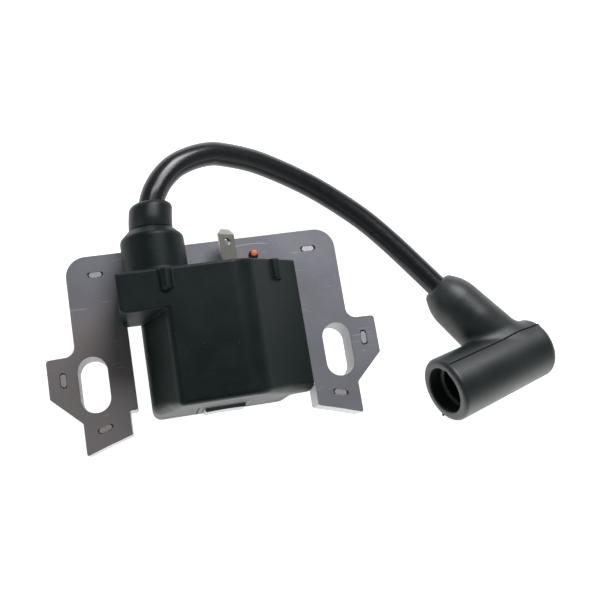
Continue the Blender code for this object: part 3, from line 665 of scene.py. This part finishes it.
# ---- tower grommet ----
# A ring of black rubber pressed into the tower, which grips the lead and seals the joint
# from water. Its lip stands above the tower and leans with the lead.
heights = np.linspace(26.6, GRIP_TOP + 0.1, 14)
bore_wall = [(LEAD_DIAMETER / 2 + 0.06, y) for y in heights[::-1]]
lip = [(3.7 + 1.5 * np.cos(a), 38.2 + 1.6 * np.sin(a)) for a in np.linspace(0, np.pi / 2, 7)]
grommet_profile = bore_wall + [(4.6, 26.6), (4.6, 33.45), (5.1, 33.45), (5.2, 33.6), (5.2, 36.0)]
grommet_profile += lip
vertices, quads = turned(grommet_profile, np.array((TOWER_X, 0, TOWER_Z)), (0.0, 1.0, 0.0), 56)
vertices[:, 0] += lean(vertices[:, 1])
grommet_rubber = moulded("grommet_rubber", (0.007, 0.010, 0.010), 0.36, 3000.0, 0.3, 0.1, 0.1,
                         Specular_IOR_Level=0.2)
grommet = tidy_mesh(place_piece("lead_grommet", vertices, quads, [grommet_rubber]))
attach(grommet, "coil")
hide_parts("tower_grommet")

# the small strip draws the lead's highlight and reaches nothing else
lit_by_strip = bpy.data.collections.new("lit_by_the_lead_strip")
for piece in (lead, grommet):
    lit_by_strip.objects.link(piece)
strip.light_linking.receiver_collection = lit_by_strip

# ---- laminated core ----
# Fourteen sheets of silicon steel, blanked to an E and locked together by six stamped
# tongues. The faces keep the mill's dull coating; the cut edges are bright.
SHEETS, CORE_BACK, CORE_DEPTH = 14, 10.5, 9.0
SHEET_PITCH = CORE_DEPTH / SHEETS
EDGE_BREAK = 0.07
STAKES = [(26.6, 26.6, 0.0), (36.95, 2.0, 90.0), (28.7, -10.7, -17.0)]
STAKE_LENGTH, STAKE_WIDTH = 3.9, 1.5


def arc(centre, radius, start, end, steps):
    """Points on an arc between two angles in degrees, both ends included."""
    angle = np.radians(np.linspace(start, end, steps + 1))
    return np.stack((centre[0] + radius * np.cos(angle), centre[1] + radius * np.sin(angle)), 1)


def core_outline():
    """Right half from the yoke's top to the middle leg, then its mirror image."""
    pole_x = np.array((4.6, 3.0, 1.5, 0.0))
    pole = np.stack((pole_x, -107.9 + np.sqrt(97.4 ** 2 - pole_x ** 2)), 1)
    right = np.vstack((arc((28.6, 26.4), 5.0, 90, 0, 16), arc((36.1, 9.9), 2.5, 180, 270, 8),
                       arc((39.7, 6.5), 0.8, 90, 0, 4), arc((40.0, -1.9), 0.5, 0, -40, 3),
                       arc((34.1, -9.0), 0.5, 130, 180, 3), arc((33.1, -15.9), 0.5, 0, -75, 4),
                       [(28.1, -14.7)], arc((23.1, -12.7), 0.5, 255, 180, 4),
                       arc((22.2, -7.8), 0.4, 0, 90, 3), arc((21.1, -7.0), 0.4, 270, 180, 3),
                       arc((19.2, 16.5), 1.5, 0, 90, 6), arc((5.4, 17.6), 0.4, 90, 180, 3),
                       [(5.0, -10.2), (4.9, -10.52)], pole))
    left = right[::-1][1:] * (-1, 1)
    return np.vstack((right, left))


def stadium(x, y, turn, length, width, steps=8):
    """A rounded slot's outline, turned by some degrees about its centre."""
    radius, straight = width / 2, (length - width) / 2
    points = np.vstack((arc((straight, 0), radius, -90, 90, steps),
                        arc((-straight, 0), radius, 90, 270, steps)))
    c, s = np.cos(np.radians(turn)), np.sin(np.radians(turn))
    return points @ np.array(((c, s), (-s, c))) + (x, y)


def inset(loop, distance):
    """Each point of a loop moved along the mean of its two sides' normals, to the left of
    the way round, so that every side shifts by the distance."""
    side = unit(np.roll(loop, -1, 0) - loop)
    normal = np.stack((-side[:, 1], side[:, 0]), 1)
    mean = normal + np.roll(normal, 1, 0)
    return loop + distance * 2 * mean / np.maximum((mean ** 2).sum(1, keepdims=True), 0.8)


def blanked(loops, low, high, rim):
    """A sheet: each outline drawn as rings at the bottom face, the two ends of the cut wall
    and the top face, with the wall's ends broken by a small bevel. The first outline runs
    anticlockwise and the holes clockwise; the two faces are filled with triangles."""
    rings, faces, wall, start = [], [], [], 0
    for loop in loops:
        narrow = inset(loop, rim)
        count = len(loop)
        for ring, height in ((narrow, low), (loop, low + rim), (loop, high - rim), (narrow, high)):
            rings.append(np.column_stack((ring, np.full(count, height))))
        quads = grid_faces(4, count) + start
        faces += quads.tolist()
        wall += [1] * len(quads)
        start += 4 * count
    corners = np.vstack(rings)
    bottom = [Vector((*p, 0)) for ring in rings[::4] for p in ring[:, :2]]
    owner = np.concatenate([np.arange(len(ring)) + 4 * sum(len(r) for r in rings[:k:4])
                            for k, ring in zip(range(0, len(rings), 4), rings[::4])])
    lift = np.concatenate([np.full(len(ring), 3 * len(ring)) for ring in rings[::4]])
    split = np.cumsum([len(ring) for ring in rings[::4]])[:-1]
    polygons = [[bottom[k] for k in part] for part in np.split(np.arange(len(bottom)), split)]
    for a, b, c in tessellate_polygon(polygons):
        flat = np.cross(np.subtract(bottom[b], bottom[a]), np.subtract(bottom[c], bottom[a]))[2]
        a, b, c = (a, b, c) if flat > 0 else (a, c, b)
        faces.append([int(owner[k] + lift[k]) for k in (a, b, c)])
        faces.append([int(owner[k]) for k in (c, b, a)])
        wall += [0, 0]
    return corners, faces, wall


def rolled_steel():
    """Dull blue-grey sheet: rolling lines along X, cloudy coating, brown bloom on the left
    legs, pits and stray scratches."""
    made, tree, shader = new_material("sheet_face", 0.55, 0.55)
    place = add_node(tree, "ShaderNodeTexCoord").outputs["Object"]
    where = add_node(tree, "ShaderNodeSeparateXYZ", {0: place})
    rolled = add_node(tree, "ShaderNodeMapping", {"Vector": place, "Scale": (0.06, 1.0, 1.0)})
    lines = add_node(tree, "ShaderNodeTexNoise", {"Vector": rolled.outputs[0], "Scale": 2800.0,
                                                  "Detail": 4.0, "Roughness": 0.7})
    cloud = add_node(tree, "ShaderNodeTexNoise",
                     {"Vector": place, "Scale": 85.0, "Detail": 6.0, "Roughness": 0.6})
    pits = add_node(tree, "ShaderNodeTexVoronoi", {"Vector": place, "Scale": 520.0})
    pit = add_node(tree, "ShaderNodeMapRange",
                   {"Value": pits.outputs["Distance"], "From Min": 0.1, "From Max": 0.05})
    few = add_node(tree, "ShaderNodeMapRange",
                   {"Value": cloud.outputs["Fac"], "From Min": 0.5, "From Max": 0.6})
    pit = add_node(tree, "ShaderNodeMath", {0: pit.outputs[0], 1: few.outputs[0]},
                   operation="MULTIPLY")
    tone = add_node(tree, "ShaderNodeMix", {0: cloud.outputs["Fac"],
                                            6: colour(0.13, 0.135, 0.152),
                                            7: colour(0.25, 0.257, 0.283)}, data_type="RGBA")
    leftness = add_node(tree, "ShaderNodeMapRange",
                        {"Value": where.outputs["X"], "From Min": -0.018, "From Max": -0.026})
    lowness = add_node(tree, "ShaderNodeMapRange",
                       {"Value": where.outputs["Y"], "From Min": 0.024, "From Max": 0.012})
    bloom = add_node(tree, "ShaderNodeMath", {0: leftness.outputs[0], 1: lowness.outputs[0]},
                     operation="MULTIPLY")
    bloom = add_node(tree, "ShaderNodeMath", {0: bloom.outputs[0], 1: 0.7},
                     operation="MULTIPLY")
    tone = add_node(tree, "ShaderNodeMix", {0: bloom.outputs[0], 6: tone.outputs[2],
                                            7: colour(0.21, 0.19, 0.175)}, data_type="RGBA")
    tone = add_node(tree, "ShaderNodeMix", {0: pit.outputs[0], 6: tone.outputs[2],
                                            7: colour(0.06, 0.055, 0.05)}, data_type="RGBA")
    hairs_at = add_node(tree, "ShaderNodeMapping",
                        {"Vector": place, "Rotation": (0, 0, 0.9), "Scale": (0.15, 1.0, 1.0)})
    hairs = add_node(tree, "ShaderNodeTexNoise",
                     {"Vector": hairs_at.outputs[0], "Scale": 1100.0, "Detail": 1.0})
    scratch = add_node(tree, "ShaderNodeMapRange", {"Value": hairs.outputs["Fac"],
                                                    "From Min": 0.7, "From Max": 0.8,
                                                    "To Max": 0.35})
    tone = add_node(tree, "ShaderNodeMix", {0: scratch.outputs[0], 6: tone.outputs[2],
                                            7: colour(0.5, 0.5, 0.52)}, data_type="RGBA")
    # a long curved rub above the pin: y = 29.6 mm - 0.02 (x - 12 mm)^2 / mm
    x_mm = add_node(tree, "ShaderNodeMath", {0: where.outputs["X"], 1: 1000.0, 2: -12.0},
                    operation="MULTIPLY_ADD")
    y_mm = add_node(tree, "ShaderNodeMath", {0: where.outputs["Y"], 1: 1000.0, 2: -29.6},
                    operation="MULTIPLY_ADD")
    square = add_node(tree, "ShaderNodeMath", {0: x_mm.outputs[0], 1: x_mm.outputs[0]},
                      operation="MULTIPLY")
    off = add_node(tree, "ShaderNodeMath", {0: square.outputs[0], 1: 0.02, 2: y_mm.outputs[0]},
                   operation="MULTIPLY_ADD")
    off = add_node(tree, "ShaderNodeMath", {0: off.outputs[0]}, operation="ABSOLUTE")
    near = add_node(tree, "ShaderNodeMapRange",
                    {"Value": off.outputs[0], "From Min": 0.16, "From Max": 0.04, "To Max": 0.4})
    short = add_node(tree, "ShaderNodeMapRange",
                     {"Value": square.outputs[0], "From Min": 25.0, "From Max": 12.0})
    rub = add_node(tree, "ShaderNodeMath", {0: near.outputs[0], 1: short.outputs[0]},
                   operation="MULTIPLY")
    tone = add_node(tree, "ShaderNodeMix", {0: rub.outputs[0], 6: tone.outputs[2],
                                            7: colour(0.62, 0.62, 0.65)}, data_type="RGBA")
    tree.links.new(tone.outputs[2], shader.inputs["Base Color"])
    dull = add_node(tree, "ShaderNodeMapRange", {"Value": lines.outputs["Fac"], "From Min": 0.3,
                                                 "From Max": 0.7, "To Min": 0.54,
                                                 "To Max": 0.6})
    tree.links.new(dull.outputs[0], shader.inputs["Roughness"])
    height = add_node(tree, "ShaderNodeMath", {0: lines.outputs["Fac"], 1: pit.outputs[0]},
                      operation="SUBTRACT")
    bump = add_node(tree, "ShaderNodeBump",
                    {"Height": height.outputs[0], "Strength": 0.2, "Distance": 0.00002})
    tree.links.new(bump.outputs[0], shader.inputs["Normal"])
    return made


sheet_face = rolled_steel()
pressed_steel = metal("pressed_steel", (0.46, 0.46, 0.47), (0.34, 0.34, 0.35), 0.5, 1.0)
cut_edge = metal("sheet_cut_edge", (0.5, 0.5, 0.51), (0.38, 0.38, 0.39), 0.42, 1.0)
outline = core_outline()[::-1]
openings = [stadium(side * 30.0, 0.0, 90.0, 13.4, 7.0, 20)[::-1] for side in (-1, 1)]
openings.append(arc((12.5, 26.6), 1.2, 360, 15, 23))
stakes = [(side * x, y, side * turn) for x, y, turn in STAKES for side in (-1, 1)]
stake_holes = [stadium(*stake, STAKE_LENGTH, STAKE_WIDTH)[::-1] for stake in stakes]
for number in range(SHEETS):
    low = CORE_BACK + number * SHEET_PITCH
    is_outer = number in (0, SHEETS - 1)
    loops = [outline, *openings, *(stake_holes if is_outer else [])]
    corners, faces, wall = blanked(loops, low, low + SHEET_PITCH - 0.04, EDGE_BREAK)
    name = f"sheet_{number + 1:02d}"
    sheet = place_piece(name, corners, faces, [sheet_face, cut_edge], wall)
    sheet.data.set_sharp_from_angle(angle=0.5)
    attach(sheet, "coil")
    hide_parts(f"lamination_{number + 1:02d}")

# each tongue is sheared free at its ends and pressed a little into the sheet below
for number, (x, y, angle) in enumerate(stakes):
    for side, top in (("front", CORE_BACK + CORE_DEPTH - 0.14), ("back", CORE_BACK + 0.5)):
        loop = stadium(x, y, angle, STAKE_LENGTH - 0.7, STAKE_WIDTH - 0.05)
        corners, faces, wall = blanked([loop], top - 0.36, top, 0.1)
        tongue = place_piece(f"stake_{side}_{number + 1}", corners, faces,
                             [pressed_steel, cut_edge], wall)
        tongue.data.set_sharp_from_angle(angle=0.5)
        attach(tongue, "coil")

# ---- earth pin ----
# A copper pin riveted through the stack, which earths the windings to the core. Its front
# end is domed and stays bright.
copper = metal("bright_copper", (0.62, 0.19, 0.07), (0.5, 0.14, 0.055), 0.5, 1.0, 0.6)
dome = [(0.62 + 0.28 * np.cos(a), 21.4 + 0.3 * np.sin(a)) for a in np.linspace(0, np.pi / 2, 8)]
pin_profile = [(0, 9.9), (0.75, 9.9), (0.9, 10.05), (0.9, 15.0)] + dome + [(0, 21.75)]
pin = tidy_mesh(place_piece("copper_pin", *turned(pin_profile, np.array((12.5, 26.6, 0.0)),
                                                  (0.0, 0.0, 1.0), 32), [copper]))
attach(pin, "coil")
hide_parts("earth_pin")

# ---- stop terminal ----
# A 4.8 mm push-on blade of tinned brass for the stop switch's wire, set in the case at an
# angle. Its tip is bevelled and it has a small locking hole.
tin_plate = metal("tin_plate", (0.37, 0.365, 0.33), (0.28, 0.275, 0.25), 0.42, 0.1)
tree = tin_plate.node_tree
shader = tree.nodes["Principled BSDF"]
# the last millimetre or so of the blade, its bevelled tip, is lightened in colour: a painted
# reflection of the light on the bevel
place = add_node(tree, "ShaderNodeTexCoord").outputs["Object"]
where = add_node(tree, "ShaderNodeSeparateXYZ", {0: place})
painted_tip_glint = add_node(tree, "ShaderNodeMapRange",
               {"Value": where.outputs["Y"], "From Min": 0.0312, "From Max": 0.0315})
tone = add_node(tree, "ShaderNodeMix", {0: painted_tip_glint.outputs[0], 7: colour(0.7, 0.69, 0.65),
                                        6: shader.inputs["Base Color"].links[0].from_socket},
                data_type="RGBA")
tree.links.new(tone.outputs[2], shader.inputs["Base Color"])
bright_tin = metal("bright_tin", (0.5, 0.49, 0.45), (0.4, 0.39, 0.36), 0.33, 1.0)
blade_loop = np.array([(-2.4, 16.2), (2.4, 16.2), (2.4, 31.5), (1.35, 32.7), (-1.35, 32.7),
                       (-2.4, 31.5)])
corners, faces, wall = blanked([blade_loop, arc((0, 29.5), 0.8, 360, 15, 23)], -0.4, 0.4, 0.12)
near_tip = np.clip((corners[:, 1] - 31.3) / 1.4, 0, 1)
corners[:, 2] *= 1 - 0.45 * near_tip
x, z = corners[:, 0].copy(), corners[:, 2].copy()
corners[:, 0] = BLADE_X + x * np.cos(BLADE_TURN) + z * np.sin(BLADE_TURN)
corners[:, 2] = BLADE_Z - x * np.sin(BLADE_TURN) + z * np.cos(BLADE_TURN)
blade = place_piece("stop_blade", corners, faces, [tin_plate, bright_tin], wall)
blade.data.set_sharp_from_angle(angle=0.4)
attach(blade, "coil")
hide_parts("stop_terminal")

# ---- potted module ----
# The windings, their bobbins and the ignition circuit are cast into the case with black
# resin, poured from the back. Only the resin's back and the primary bobbin's foot show.


def finish_node(name, finish):
    """Give a CAD node that is kept as it is its own material."""
    for material_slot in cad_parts[name].material_slots:
        material_slot.material = finish


resin = moulded("potting_resin", (0.016, 0.014, 0.013), 0.22, 500.0, 0.5, 0.2, 0.1,
                Coat_Weight=0.3)
bobbin_nylon = moulded("bobbin_nylon", (0.014, 0.019, 0.019), 0.5, 3000.0, 0.3, 0.2, 0.2)
chip_epoxy = moulded("chip_epoxy", (0.02, 0.02, 0.021), 0.45, 5000.0, 0.4, 0.1, 0.1)
capacitor_film = moulded("capacitor_film", (0.5, 0.24, 0.05), 0.3, 1500.0, 0.3, 0.2, 0.1)
ceramic = moulded("resistor_ceramic", (0.55, 0.55, 0.52), 0.4, 4000.0, 0.3, 0.1, 0.1)
glass_board = moulded("glass_board", (0.03, 0.16, 0.06), 0.4, 2500.0, 0.5, 0.1, 0.2)

magnet_wire, tree, shader = new_material("magnet_wire", 0.3, 0.8, Coat_Weight=0.4)
place = add_node(tree, "ShaderNodeTexCoord").outputs["Object"]
turns = add_node(tree, "ShaderNodeTexWave", {"Vector": place, "Scale": 900.0, "Distortion": 0.4,
                                             "Detail": 1.0}, bands_direction="Y")
tone = add_node(tree, "ShaderNodeMix", {0: turns.outputs["Fac"], 6: colour(0.2, 0.05, 0.015),
                                        7: colour(0.7, 0.24, 0.07)}, data_type="RGBA")
tree.links.new(tone.outputs[2], shader.inputs["Base Color"])
bump = add_node(tree, "ShaderNodeBump",
                {"Height": turns.outputs["Fac"], "Strength": 0.6, "Distance": 0.0001})
tree.links.new(bump.outputs[0], shader.inputs["Normal"])

for node, finish in (("potting", resin), ("primary_bobbin", bobbin_nylon),
                     ("secondary_bobbin", bobbin_nylon), ("primary_winding", magnet_wire),
                     ("secondary_winding_1", magnet_wire), ("secondary_winding_2", magnet_wire),
                     ("secondary_winding_3", magnet_wire), ("secondary_winding_4", magnet_wire),
                     ("circuit_board", glass_board), ("power_transistor", chip_epoxy),
                     ("control_chip", chip_epoxy), ("timing_capacitor", capacitor_film),
                     ("resistor_1", ceramic), ("resistor_2", ceramic), ("ht_contact", brass)):
    finish_node(node, finish)
